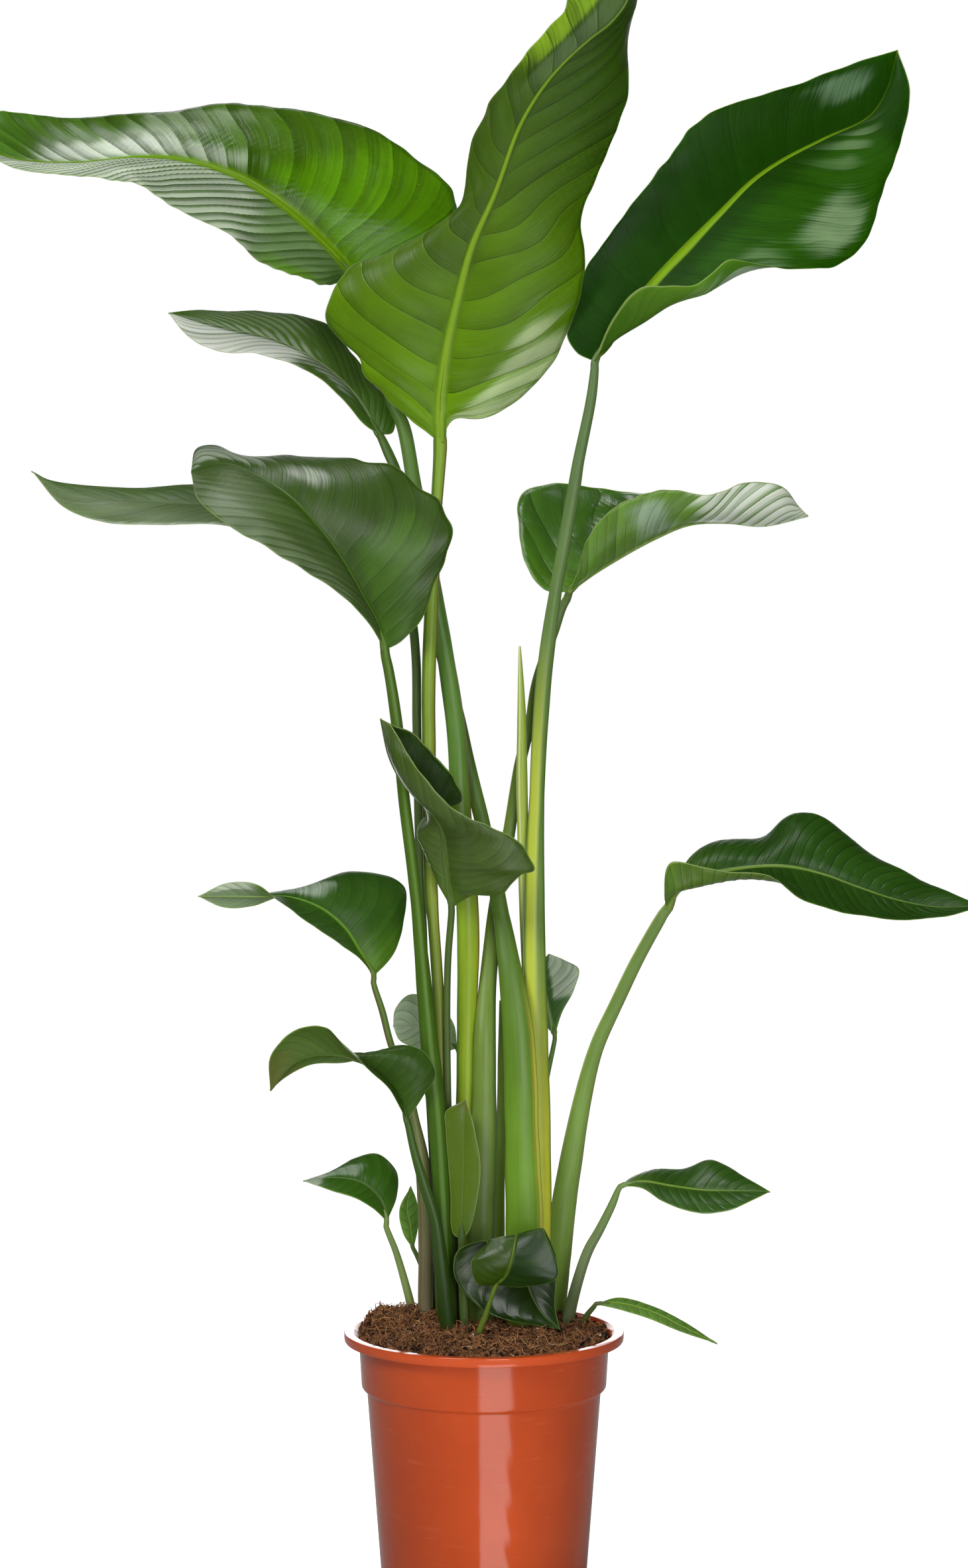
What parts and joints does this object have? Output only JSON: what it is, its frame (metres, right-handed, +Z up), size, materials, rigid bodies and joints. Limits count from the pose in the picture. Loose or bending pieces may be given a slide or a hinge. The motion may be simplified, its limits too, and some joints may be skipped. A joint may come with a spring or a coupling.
{
  "type": "potted bird of paradise",
  "caption": "Bird of paradise plant: paddle-shaped leaves on long stalks in the peat of a tapered plastic nursery pot.",
  "frame": {"origin": "middle of the pot's flat foot, on the surface that it stands on", "axes": "+Z up along the pot's axis, +X to the right of the front view, +Y away from the front view"},
  "size_m": [0.8746, 0.2783, 1.3634],
  "materials": {
    "pot": "satin moulded plastic, terracotta coloured",
    "peat": "loose fibrous dark brown peat",
    "stalk_stalk": "smooth waxy stalk, mid green with a thin brown edge",
    "blade_mid": "smooth waxy leaf with a soft gloss, mid green",
    "stalk_olive": "smooth waxy stalk, yellow green with a red brown edge",
    "blade_bright": "thin translucent leaf seen from below, yellow green",
    "blade_dark": "smooth waxy leaf with a soft gloss, dark green",
    "stalk_sheath": "smooth broad leaf sheath, light green with a yellow margin",
    "blade_grey": "smooth waxy leaf with a soft gloss, grey green",
    "stalk_dark": "smooth waxy stalk, dark green",
    "stalk_grey": "smooth waxy stalk, grey green",
    "blade_stalk": "smooth flat remnant of an old leaf, light green"
  },
  "bodies": {
    "root": {"pot": "pot", "peat": "peat", "stalk_top_left": "stalk_stalk", "blade_top_left": "blade_mid", "stalk_top_centre": "stalk_olive", "blade_top_centre": "blade_bright", "stalk_top_right": "stalk_stalk", "blade_top_right": "blade_dark", "stalk_mid_left_back": "stalk_sheath", "blade_mid_left_back": "blade_grey", "stalk_left_front": "stalk_stalk", "blade_left_front": "blade_grey", "stalk_far_left": "stalk_dark", "blade_far_left": "blade_grey", "stalk_mid_fold": "stalk_stalk", "blade_mid_fold": "blade_grey", "stalk_right_mid": "stalk_stalk", "blade_right_mid": "blade_grey", "stalk_small_left_top": "stalk_grey", "blade_small_left_top": "blade_dark", "stalk_small_left_mid": "stalk_dark", "blade_small_left_mid": "blade_dark", "stalk_small_left_low": "stalk_stalk", "blade_small_left_low": "blade_dark", "stalk_right_long": "stalk_stalk", "blade_right_long": "blade_dark", "stalk_small_right_low": "stalk_stalk", "blade_small_right_low": "blade_dark", "stalk_rim": "stalk_stalk", "blade_rim": "blade_mid", "stalk_front_low": "stalk_stalk", "blade_front_low": "blade_dark", "stalk_back_right": "stalk_stalk", "blade_back_right": "blade_grey", "stalk_back_left": "stalk_stalk", "blade_back_left": "blade_grey", "stalk_cut_old": "stalk_stalk", "blade_cut_old": "blade_stalk", "stalk_back_shoot": "stalk_dark", "blade_back_shoot": "blade_dark", "stalk_old_middle": "stalk_dark", "stalk_spear": "stalk_sheath"}
  },
  "joints": []
}
